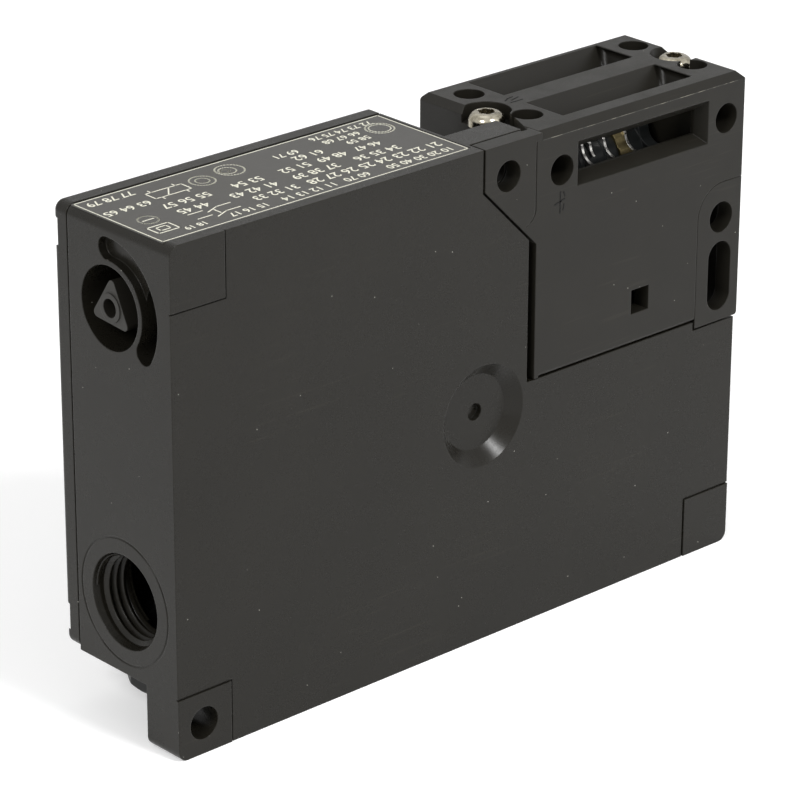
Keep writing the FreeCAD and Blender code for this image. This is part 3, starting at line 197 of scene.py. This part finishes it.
def background_rays(tree):
    """One for camera, glossy and transmission rays, which all see the white background."""
    paths = tree.nodes.new("ShaderNodeLightPath")
    seen = paths.outputs["Is Camera Ray"]
    for name in ("Is Glossy Ray", "Is Transmission Ray"):
        either = tree.nodes.new("ShaderNodeMath")
        either.operation = "MAXIMUM"
        tree.links.new(seen, either.inputs[0])
        tree.links.new(paths.outputs[name], either.inputs[1])
        seen = either.outputs[0]
    return seen


def times(colour, factor):
    """The colour made lighter or darker by the factor."""
    return tuple(channel * factor for channel in colour)


# ---- materials -----------------------------------------------------------------------------

def moulded_plastic(name, colour, rough, grain_depth=0.012, dusty=True, edge_wear_and_highlight=0.35,
                    lit_end_shaded_sides=False):
    """Spark-eroded plastic with cloudy gloss, dust specks, hairline scratches, and pale edges of
    wear and painted highlight.

    With a lit end and shaded sides, the colour is that of the face towards -x, and the other sides
    are painted black as shade.
    """
    g = Graph(name)
    cloud = g.noise(0.035, detail=4, rough=0.6)          # patches of about 30 mm
    rub = g.noise(0.16, detail=5, rough=0.65)            # marks of handling, about 6 mm
    grain = g.noise(1 / GRAIN_MM, detail=2, rough=0.6)
    tone = g.mix(g.band(cloud, 0.35, 0.68), colour, times(colour, CLOUDY))
    # pale edges: partly wear, partly a painted highlight on every edge of the form
    edges = g.math("MULTIPLY", g.edge_factor(PLASTIC_EDGE_MM), g.band(rub, 0.4, 0.62, 0.3, 1.0))
    tone = g.mix(g.math("MULTIPLY", edges, edge_wear_and_highlight), tone, times(colour, EDGE_WEAR_AND_HIGHLIGHT))
    if lit_end_shaded_sides:
        facing = g.node("ShaderNodeSeparateXYZ")
        g.link(g.node("ShaderNodeNewGeometry").outputs["True Normal"], facing.inputs["Vector"])
        end, side = -0.98, -0.7          # x of the normal on the lit end, and beside it, where the painted shade is full
        # painted shade: every side but the end face towards -x is coloured black
        tone = g.mix(g.band(facing.outputs["X"], end, side), tone, BLACK)
    if dusty:
        tone = g.mix(dust(g), tone, DUST)
        cover = g.math("MULTIPLY", scratches(g), SCRATCH_COVER)
        tone = g.mix(cover, tone, times(colour, SCRATCHED))
    shine = g.math("ADD", g.band(rub, 0.3, 0.7, rough - 0.05, rough + 0.06),
                   g.band(grain, 0.3, 0.7, -0.03, 0.03))
    normal = g.bump(grain, grain_depth, 0.55, g.rounded(PLASTIC_EDGE_MM))
    return g.shade(base=tone, rough=shine, specular=PLASTIC_SPECULAR, normal=normal)


def dust(g):
    """Sparse pale specks of two sizes, the fine ones only in patches."""
    fine = g.math("LESS_THAN", g.cells(0.34), 0.030)
    patches = g.math("GREATER_THAN", g.noise(0.06, detail=2), 0.47)
    uneven = g.stretched((1.0, 1.3, 0.8), (0.4, 0.2, 0.9))
    coarse = g.math("LESS_THAN", g.cells(0.09, uneven), 0.0125)
    return g.math("MAXIMUM", g.math("MULTIPLY", fine, patches), coarse)


def scratches(g):
    """Short hairlines in two directions, kept to a few patches."""
    lines = []
    for turn, patches_per_mm in (((0.5, 0.9, 0.3), 0.05), ((1.2, 0.2, 1.1), 0.035)):
        along = g.stretched((0.06, 2.6, 2.6), turn)
        hairline = g.band(g.noise(0.9, detail=0, vector=along), 0.735, 0.76)
        patch = g.band(g.noise(patches_per_mm, detail=2), 0.55, 0.62)
        lines.append(g.math("MULTIPLY", hairline, patch))
    return g.math("MAXIMUM", *lines)


def metal(name, colour, rough, brushed=(1.0, 1.0, 1.0), tarnish=None):
    """Plated or turned metal with drawn lines, faint stains and softened edges."""
    g = Graph(name)
    lines = g.noise(2.2, detail=3, vector=g.stretched(brushed))
    stain = g.noise(0.5, detail=4, rough=0.7)
    tone = g.mix(g.band(stain, 0.4, 0.72), colour, tarnish or times(colour, 0.72))
    shine = g.math("ADD", g.band(lines, 0.3, 0.7, rough - 0.06, rough + 0.07),
                   g.band(stain, 0.4, 0.7, 0.0, 0.08))
    normal = g.bump(lines, 0.006, 0.4, g.rounded(METAL_EDGE_MM))
    return g.shade(base=tone, rough=shine, metallic=1.0, normal=normal)


def label_film():
    """Dark grey semi-gloss film with a fine stipple."""
    g = Graph("label_film")
    stipple = g.noise(5.0, detail=1)
    smear = g.noise(0.08, detail=4, rough=0.6)
    tone = g.mix(g.band(smear, 0.3, 0.7), (0.036, 0.034, 0.030), (0.050, 0.048, 0.042))
    return g.shade(base=g.mix(dust(g), tone, LABEL_DUST), rough=g.band(smear, 0.3, 0.7, 0.30, 0.42),
                   specular=0.35, normal=g.bump(stipple, 0.004, 0.5))


def print_ink():
    """Cream printing ink, slightly uneven in cover."""
    g = Graph("print_ink")
    cover = g.band(g.noise(6.0, detail=2), 0.35, 0.6)
    return g.shade(base=g.mix(cover, (0.62, 0.60, 0.48), (0.78, 0.77, 0.66)), rough=0.55)


def parting_line_highlight():
    """Plastic of a parting line, pale in stretches as a painted highlight of the bevel's lower
    edge.
    """
    g = Graph("parting_line_highlight")
    # painted highlight: pale stretches along the line where the bevel's edge catches the light
    highlight_stretches = g.band(g.noise(0.35, detail=4, rough=0.8), 0.46, 0.60)
    return g.shade(base=g.mix(highlight_stretches, (0.022, 0.021, 0.018), (0.16, 0.15, 0.12)), rough=0.6)


def rubber():
    """Black seal rubber with a greyish bloom."""
    g = Graph("seal_rubber")
    bloom = g.noise(0.4, detail=4)
    tone = g.mix(g.band(bloom, 0.35, 0.7), (0.012, 0.012, 0.012), (0.024, 0.024, 0.023))
    return g.shade(base=tone, rough=g.band(bloom, 0.3, 0.7, 0.6, 0.75),
                   normal=g.bump(g.noise(3.0), 0.01, 0.5))


def copper_winding():
    """Enamelled wire, with one groove for each turn along the coil."""
    g = Graph("copper_wire")
    wave = g.node("ShaderNodeTexWave", bands_direction="X")
    wave.inputs["Scale"].default_value = 0.9 / MM
    wave.inputs["Distortion"].default_value = 0.4
    g.link(g.place, wave.inputs["Vector"])
    tone = g.mix(g.noise(0.6, detail=3), (0.42, 0.13, 0.04), (0.62, 0.26, 0.10))
    grooves = g.bump(wave.outputs["Fac"], 0.12, 0.8)
    return g.shade(base=tone, metallic=0.8, rough=0.32, normal=grooves)


MATERIALS = {
    "housing_plastic": moulded_plastic("housing_plastic", BLACK, rough=0.28),
    "head_plastic": moulded_plastic("head_plastic", HEAD_BLACK, rough=0.38),
    "plug_plastic": moulded_plastic("plug_plastic", (0.007, 0.007, 0.0066), rough=0.45,
                                    dusty=False),
    "spindle_plastic": moulded_plastic("spindle_plastic", (0.030, 0.029, 0.026), rough=0.5,
                                       grain_depth=0.006, dusty=False, edge_wear_and_highlight=0.1,
                                       lit_end_shaded_sides=True),
    "dark_plastic": moulded_plastic("dark_plastic", (0.009, 0.010, 0.010), rough=0.36,
                                    dusty=False),
    "pale_plastic": moulded_plastic("pale_plastic", (0.20, 0.19, 0.16), rough=0.45,
                                    dusty=False, edge_wear_and_highlight=0.05),
    "label_film": label_film(),
    "nickel_steel": metal("nickel_steel", (0.44, 0.41, 0.33), rough=0.17,
                          tarnish=(0.15, 0.13, 0.09)),
    "bright_steel": metal("bright_steel", (0.58, 0.57, 0.54), rough=0.26,
                          brushed=(0.2, 3.0, 0.4)),
    "brass": metal("brass", (0.21, 0.17, 0.085), rough=0.34, brushed=(0.3, 2.0, 0.3),
                   tarnish=(0.10, 0.08, 0.04)),
    "seal_rubber": rubber(),
    "copper_wire": copper_winding(),
}
INK = print_ink()
MARK = moulded_plastic("mark_plastic", MARK_BLACK, rough=0.6, dusty=False, edge_wear_and_highlight=0.0)

for sub_part in frame["record"]["subparts"]:
    node = frame["nodes"][sub_part["node"]]
    node.data.materials.clear()
    node.data.materials.append(MATERIALS[sub_part["material_slot"]])


# ---- mesh helpers --------------------------------------------------------------------------

def piece_from(mesh_edit, name, material, body):
    """New object from a filled bmesh, with its material and body."""
    mesh = bpy.data.meshes.new(name)
    bmesh.ops.recalc_face_normals(mesh_edit, faces=mesh_edit.faces)
    mesh_edit.to_mesh(mesh)
    mesh_edit.free()
    piece = bpy.data.objects.new(name, mesh)
    bpy.context.scene.collection.objects.link(piece)
    mesh.materials.append(material)
    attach(piece, body)
    return piece


def smooth(piece, angle_deg):
    """Smooth shading up to the given angle between faces."""
    limit = math.radians(angle_deg)
    for polygon in piece.data.polygons:
        polygon.use_smooth = True
    edit = bmesh.new()
    edit.from_mesh(piece.data)
    for edge in edit.edges:
        if len(edge.link_faces) == 2:
            edge.smooth = edge.calc_face_angle(0.0) < limit
    edit.to_mesh(piece.data)
    edit.free()


def stroke(mesh_edit, points, width, normal, thick):
    """Raised line of the given width along points that lie in one plane."""
    half = width / 2
    for start, end in zip(points, points[1:]):
        along = (end - start).normalized()
        side = normal.cross(along) * half
        reach = along * half
        ring = [start - reach - side, end + reach - side, end + reach + side, start - reach + side]
        low = [mesh_edit.verts.new(p) for p in ring]
        high = [mesh_edit.verts.new(p + normal * thick) for p in ring]
        mesh_edit.faces.new(high)
        mesh_edit.faces.new(low[::-1])
        for i in range(4):
            j = (i + 1) % 4
            mesh_edit.faces.new((low[i], low[j], high[j], high[i]))


def ring_points(centre, radius, u, v, count):
    """Points all round a circle in the plane of u and v, the last one on the first."""
    angles = [2 * math.pi * i / count for i in range(count + 1)]
    return [centre + u * radius * math.cos(a) + v * radius * math.sin(a) for a in angles]


# ---- thread of the cable entry -------------------------------------------------------------

def entry_thread():
    """Internal M16 x 1.5 thread that stands inwards from the bore and fades in and out."""
    mount = MOUNTS["cable_entry"]
    root = mount["dims"]["r_mm"] * MM
    pitch, height, flat = 1.5 * MM, 0.78 * MM, 0.12 * MM
    foot = pitch * 0.46                  # half the width of the thread at the bore
    sunk = 0.05 * MM                     # how far its foot lies in the wall
    centre = Vector(mount["pos_m"])
    low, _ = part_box("housing")
    mouth = 1.1 * MM                     # plain stretch before the first turn
    start = low.x + mouth
    turns, steps = 4, 72
    fade_steps = steps * 0.35            # over which the crest rises and falls
    lowest = 0.02                        # share of the height that is left at both ends
    edit = bmesh.new()
    rings = []
    for i in range(turns * steps + 1):
        angle = 2 * math.pi * i / steps
        x = start + pitch * i / steps
        fade = min(1.0, i / fade_steps, (turns * steps - i) / fade_steps)
        crest = root - height * max(lowest, fade)
        profile = ((-foot, root + sunk), (-flat, crest), (flat, crest), (foot, root + sunk))
        radial = Vector((0, math.cos(angle), math.sin(angle)))
        rings.append([edit.verts.new(Vector((x + dx, centre.y, centre.z)) + radial * r)
                      for dx, r in profile])
    for a, b in zip(rings, rings[1:]):
        for k in range(4):
            m = (k + 1) % 4
            edit.faces.new((a[k], a[m], b[m], b[k]))
    edit.faces.new(rings[0])
    edit.faces.new(rings[-1][::-1])
    slot = "housing_plastic"
    thread = piece_from(edit, "entry_thread", MATERIALS[slot], "case")
    smooth(thread, 50)


# ---- print of the label --------------------------------------------------------------------

PRINT_THICK = 0.012 * MM
PRINT_LINE = 0.24 * MM
RING_LINE = PRINT_LINE * 1.2
FRAME_LINE = 0.2 * MM
FRAME_RIM_MM = 0.3
DIGIT_SCALE = 1.32                       # font size for each millimetre of a digit's given size
DIGIT_SPREAD = 0.02 * MM                 # how far the outline of a digit is made bolder
LABEL_LOW, LABEL_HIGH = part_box("rating_label")

# rings on the label, as places and radii in millimetres, and the bar in the last outer ring
OUTER_RINGS = ((4.4, 5.4, 2.5), (36.4, 4.4, 2.5), (43.0, 5.4, 2.2), (60.9, 13.6, 1.7))
INNER_RINGS = ((36.9, 4.4, 1.5), (37.4, 4.4, 0.8), (4.4, 5.4, 1.9), (43.0, 5.4, 1.2))
RING_BAR = ((59.8, 13.6), (62.0, 13.6))
OUTER_STEPS, INNER_STEPS = 28, 20        # straight pieces that make up a ring

# each row: millimetres from the lid side, then runs of plain numbers with their start and size
NUMBER_ROWS = (
    (19.9, ((2.0, 1.8, "10 20 30 40 50"), (20.4, 1.8, "60 70"), (27.6, 1.8, "11 12 13 14"),
            (42.0, 1.7, "15 16 17"), (54.6, 1.5, "18 19"))),
    (16.6, ((2.0, 2.2, "21 22 23 24 25 26 27 28"), (33.0, 2.0, "31 32 33"))),
    (13.3, ((8.0, 2.1, "34 35 36"), (21.4, 2.1, "37 38 39"), (34.6, 2.1, "41 42 43"),
            (49.0, 2.1, "44 45"))),
    (9.8, ((9.0, 1.9, "46 47"), (16.6, 2.1, "48 49"), (24.6, 2.1, "51 52"), (34.8, 2.1, "53 54"),
           (45.8, 2.1, "55 56 57"))),
    (6.6, ((8.4, 1.7, "58 59"), (19.0, 2.1, "61 62"), (55.4, 2.0, "63 64 65"))),
    (4.0, ((8.4, 1.7, "66 67 68"), (22.0, 1.8, "69 71"))),
    (1.4, ((3.4, 1.7, "72 73 74 75 76"), (54.8, 2.0, "77 78 79"))),
)


def on_label(u_mm, v_mm):
    """Point on the label, from its corner at the head and the lid, as it reads from the lid."""
    return Vector(LABEL_HIGH) - RIGHT * (u_mm * MM) - BACK * (v_mm * MM)


def rectangle(u, v, width, height):
    return [(u, v), (u + width, v), (u + width, v + height), (u, v + height), (u, v)]


def coil_symbol(u, v):
    """Box with a diagonal and two leads on each long side."""
    width, height, lead = 7.4, 2.8, 0.8
    lines = [rectangle(u, v, width, height), [(u + 2.6, v), (u + 4.8, v + height)]]
    for x in (u + 1.2, u + 6.2):
        lines += [[(x, v + height), (x, v + height + lead)], [(x, v - lead), (x, v)]]
    return lines


def switch_symbols(u, rows):
    """Two contacts with raised blades, joined by a link."""
    lines = []
    for row in rows:
        blade = [(u, row), (u + 2.8, row), (u + 5.4, row + 1.1)]
        lines += [blade, [(u + 5.8, row), (u + 8.6, row)]]
    return lines + [[(u + 4.0, rows[0] + 0.9), (u + 4.0, rows[1])]]


def double_square(u, v):
    """Two nested rectangles about one middle."""
    flatness = 0.72
    return [rectangle(u - half, v - half * flatness, 2 * half, 2 * half * flatness)
            for half in (1.0, 2.1)]


def label_lines():
    """Thin frame and simple circuit marks."""
    width, depth = (LABEL_HIGH.x - LABEL_LOW.x) / MM, (LABEL_HIGH.y - LABEL_LOW.y) / MM
    rim = FRAME_RIM_MM
    edit = bmesh.new()

    def draw(points_mm, line=PRINT_LINE):
        stroke(edit, [on_label(u, v) for u, v in points_mm], line, UP, PRINT_THICK)

    draw(rectangle(rim, rim, width - 2 * rim, depth - 2 * rim), FRAME_LINE)
    for mark in (*coil_symbol(46.5, 4.2), *switch_symbols(46.2, (16.1, 18.6)),
                 *double_square(61.4, 18.0)):
        draw(mark)
    for rings, line, count in ((OUTER_RINGS, RING_LINE, OUTER_STEPS),
                               (INNER_RINGS, PRINT_LINE, INNER_STEPS)):
        for u, v, r in rings:
            circle = ring_points(on_label(u, v), r * MM, -RIGHT, -BACK, count)
            stroke(edit, circle, line, UP, PRINT_THICK)
    draw(RING_BAR)
    piece_from(edit, "label_lines", INK, "case")


def digits(words, size_mm, place):
    """Mesh of one run of numbers, turned to be read from the lid side."""
    curve = bpy.data.curves.new("digits", "FONT")
    curve.body = words
    curve.size = size_mm * DIGIT_SCALE * MM
    curve.offset = DIGIT_SPREAD
    curve.extrude = PRINT_THICK / 2
    curve.resolution_u = 3
    text = bpy.data.objects.new("digits", curve)
    bpy.context.scene.collection.objects.link(text)
    half_turn = Matrix(((-1, 0, 0), (0, -1, 0), (0, 0, 1))).to_4x4()
    text.matrix_world = Matrix.Translation(place + UP * PRINT_THICK / 2) @ half_turn
    bpy.context.view_layer.update()
    evaluated = text.evaluated_get(bpy.context.evaluated_depsgraph_get())
    mesh = bpy.data.meshes.new_from_object(evaluated)
    mesh.transform(text.matrix_world)
    bpy.data.objects.remove(text)
    return mesh


def label_numbers():
    """Rows of plain numbers in place of the label's words."""
    edit = bmesh.new()
    for v, runs in NUMBER_ROWS:
        for u, size_mm, words in runs:
            mesh = digits(words, size_mm, on_label(u, v))
            edit.from_mesh(mesh)
            bpy.data.meshes.remove(mesh)
    piece_from(edit, "label_numbers", INK, "case")


# ---- marks and mould line of the head ------------------------------------------------------

MARK_DEPTH = 0.03 * MM
MARK_LINE = 0.28 * MM

FACE_MARK_BELOW, FACE_MARK_LEFT = 5.8 * MM, 0.3 * MM     # from the cover hole
TOP_MARK_RIGHT = 3.6 * MM                                # from between both cover holes

# strokes of both marks, in millimetres about their middles
FACE_MARK = (((0.0, -1.8), (0.0, 1.9)), ((-1.2, -0.1), (1.0, 0.5)), ((0.8, 1.7), (1.1, 1.0)),
             ((0.9, -0.5), (0.7, -1.4)))
TOP_MARK = (((-1.3, -0.9), (1.3, -0.9)), ((-0.4, 0.0), (1.6, 0.5)),
            ((-1.5, 0.4), (-0.4, 1.0), (0.9, 1.2)))


def first_hole(mount):
    """Middle of the cover hole nearer the cable end, of a pair spaced along x."""
    return Vector(mount["pos_m"]) - RIGHT * (mount["dims"]["spacing_x_mm"] / 2 * MM)


def head_marks():
    """Plain cross with two short strokes on the face, and three strokes on the top."""
    face_middle = first_hole(MOUNTS["cover_holes_face"])
    face_middle -= UP * FACE_MARK_BELOW + RIGHT * FACE_MARK_LEFT
    near, far = (first_hole(MOUNTS["cover_holes_top_" + side]) for side in ("near", "far"))
    top_middle = (near + far) / 2 + RIGHT * TOP_MARK_RIGHT
    edit = bmesh.new()
    for strokes, middle, up, out in ((FACE_MARK, face_middle, UP, -BACK),
                                     (TOP_MARK, top_middle, BACK, UP)):
        for points in strokes:
            placed = [middle + RIGHT * x * MM + up * y * MM for x, y in points]
            stroke(edit, placed, MARK_LINE, out, MARK_DEPTH)
    piece_from(edit, "head_mark", MARK, "case")


def mould_line():
    """Fine parting line along the head's front, just under its bevel, pale with a painted
    highlight.
    """
    _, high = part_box("head_cap")
    hole = first_hole(MOUNTS["cover_holes_face"])
    below_top, width = 1.32 * MM, 0.1 * MM
    left_of_hole, short_of_end = 4.6 * MM, 1.9 * MM
    ends = (hole.x - left_of_hole, high.x - short_of_end)
    edit = bmesh.new()
    points = [Vector((x, hole.y, high.z - below_top)) for x in ends]
    stroke(edit, points, width, -BACK, MARK_DEPTH)
    piece_from(edit, "mould_line", parting_line_highlight(), "case")


entry_thread()
label_lines()
label_numbers()
head_marks()
mould_line()


# ---- floor, light and camera ---------------------------------------------------------------

FLOOR_LIFT = 0.22                        # how far the floor is lifted to white for the eye
AMBIENT, SEEN_WHITE = 0.5, 1.0           # the world's level as light, and to the eye
BACKDROP_TURN = math.radians(-42.4)      # faces the camera

# name, place from the middle of the part in metres, size in metres, power in watts
LAMPS = (
    ("key", (-1.05, -0.35, 0.85), 0.5, 10.0),
    ("front", (0.09, -0.85, 0.86), 0.26, 9.0),
    ("fill", (0.7, -1.2, 0.5), 1.0, 2.0),
    ("top", (0.1, 0.3, 1.5), 1.0, 1.2),
)


def pale_floor():
    """Matt off-white paint, lifted a little where the eye sees it."""
    g = Graph("pale_floor")
    tone = g.mix(g.noise(0.02, detail=3), (0.88, 0.88, 0.88), (0.92, 0.92, 0.92))
    lift = g.math("MULTIPLY", background_rays(g.tree), FLOOR_LIFT)
    return g.shade(base=tone, rough=0.9, specular=0.1, glow=(1, 1, 1), glow_strength=lift)


def ground():
    """Pale floor under the foot, with a backdrop that curves up behind the part."""
    low, _ = cad_bounds
    size, radius, rise = 3.0, 0.8, 2.2
    bend_steps, step_deg = 16, 6
    bend = [math.radians(step_deg * k) for k in range(bend_steps)]
    profile = [(size - radius + radius * math.sin(a), radius - radius * math.cos(a)) for a in bend]
    rows = [(-size, 0.0), *profile, (size, rise)]
    turn = Matrix.Rotation(BACKDROP_TURN, 3, "Z")
    edit = bmesh.new()
    strips = [[edit.verts.new(turn @ Vector((x, depth, lift)) + Vector((0, 0, low.z)))
               for x in (-size, size)] for depth, lift in rows]
    for a, b in zip(strips, strips[1:]):
        edit.faces.new((a[0], a[1], b[1], b[0]))
    mesh = bpy.data.meshes.new("ground")
    edit.to_mesh(mesh)
    edit.free()
    for polygon in mesh.polygons:
        polygon.use_smooth = True
    piece = bpy.data.objects.new("ground", mesh)
    bpy.context.scene.collection.objects.link(piece)
    mesh.materials.append(pale_floor())


def soft_light(name, place, aim, size, power):
    """Round area lamp that points at the aim."""
    light = bpy.data.lights.new(name, "AREA")
    light.shape = "DISK"
    light.size = size
    light.energy = power
    lamp = bpy.data.objects.new(name, light)
    bpy.context.scene.collection.objects.link(lamp)
    lamp.location = place
    lamp.rotation_euler = (Vector(aim) - Vector(place)).to_track_quat("-Z", "Y").to_euler()


def world():
    """White to the eye and in reflections, a plain soft level for lighting."""
    scene_world = bpy.data.worlds.new("studio")
    bpy.context.scene.world = scene_world
    scene_world.use_nodes = True
    tree = scene_world.node_tree
    background = tree.nodes["Background"]
    background.inputs["Color"].default_value = (1, 1, 1, 1)
    level = tree.nodes.new("ShaderNodeMapRange")
    level.inputs["To Min"].default_value = AMBIENT
    level.inputs["To Max"].default_value = SEEN_WHITE
    tree.links.new(background_rays(tree), level.inputs["Value"])
    tree.links.new(level.outputs["Result"], background.inputs["Strength"])


def camera():
    """The viewpoint is left of the cable end, above the mounting face, with a long lens."""
    from_corner = Vector((-360.57, -446.71, 308.50)) * MM   # the eye, from the housing's corner
    origin = Vector((5.3, 0.0, 5.6)) * MM                   # the frame's origin, from there too
    turn_deg = (66.942, -0.188, -42.397)
    lens_camera = bpy.data.cameras.new("camera")
    lens_camera.sensor_width = 36.0
    lens_camera.lens = 178.66
    lens_camera.clip_end = 20.0
    eye = bpy.data.objects.new("camera", lens_camera)
    bpy.context.scene.collection.objects.link(eye)
    eye.location = from_corner - origin
    eye.rotation_euler = Euler([math.radians(a) for a in turn_deg], "XYZ")
    bpy.context.scene.camera = eye


ground()
world()
centre = (cad_bounds[0] + cad_bounds[1]) / 2
for name, offset, size, power in LAMPS:
    soft_light(name, centre + Vector(offset), centre, size, power)
camera()
bpy.context.scene.view_settings.view_transform = "Standard"
